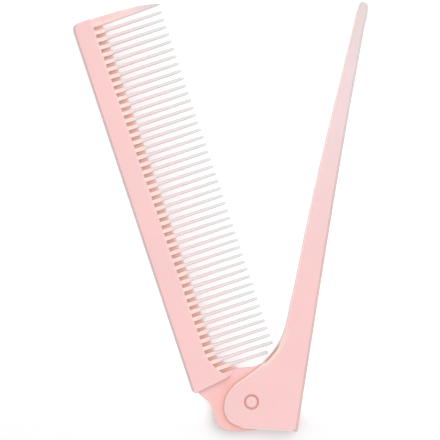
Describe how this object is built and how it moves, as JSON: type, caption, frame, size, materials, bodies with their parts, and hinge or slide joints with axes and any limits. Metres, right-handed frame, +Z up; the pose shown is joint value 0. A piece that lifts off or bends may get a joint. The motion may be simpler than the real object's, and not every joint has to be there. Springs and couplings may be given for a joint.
{
  "type": "folding comb",
  "caption": "Flat moulded folding tail comb: a fine-toothed blade hinged by a rivet to a pointed tail handle that folds over the tooth tips or swings out in line.",
  "frame": {"origin": "centre of the comb's box, on the surface that it lies on", "axes": "+Y along the comb, away from the hinge; +X from the blade's side to the tail's side; +Z up, through the comb's thickness"},
  "size_m": [0.0976, 0.1422, 0.0058],
  "materials": {
    "blade_plastic": "satin pale pink, slightly translucent towards the tooth tips",
    "handle_plastic": "satin pale pink, paler and slightly translucent towards the tail's tip",
    "pin_plastic": "satin pale pink"
  },
  "bodies": {
    "blade": {"comb_blade": "blade_plastic"},
    "tail": {"tail_handle": "handle_plastic", "pivot_pin": "pin_plastic"}
  },
  "joints": [
    {"name": "tail_fold", "type": "hinge", "parent": "blade", "child": "tail", "pos_m": [0.0102, -0.06123, 0.0029], "axis": [0, 0, 1], "range_deg": [-152.5, 27]}
  ]
}
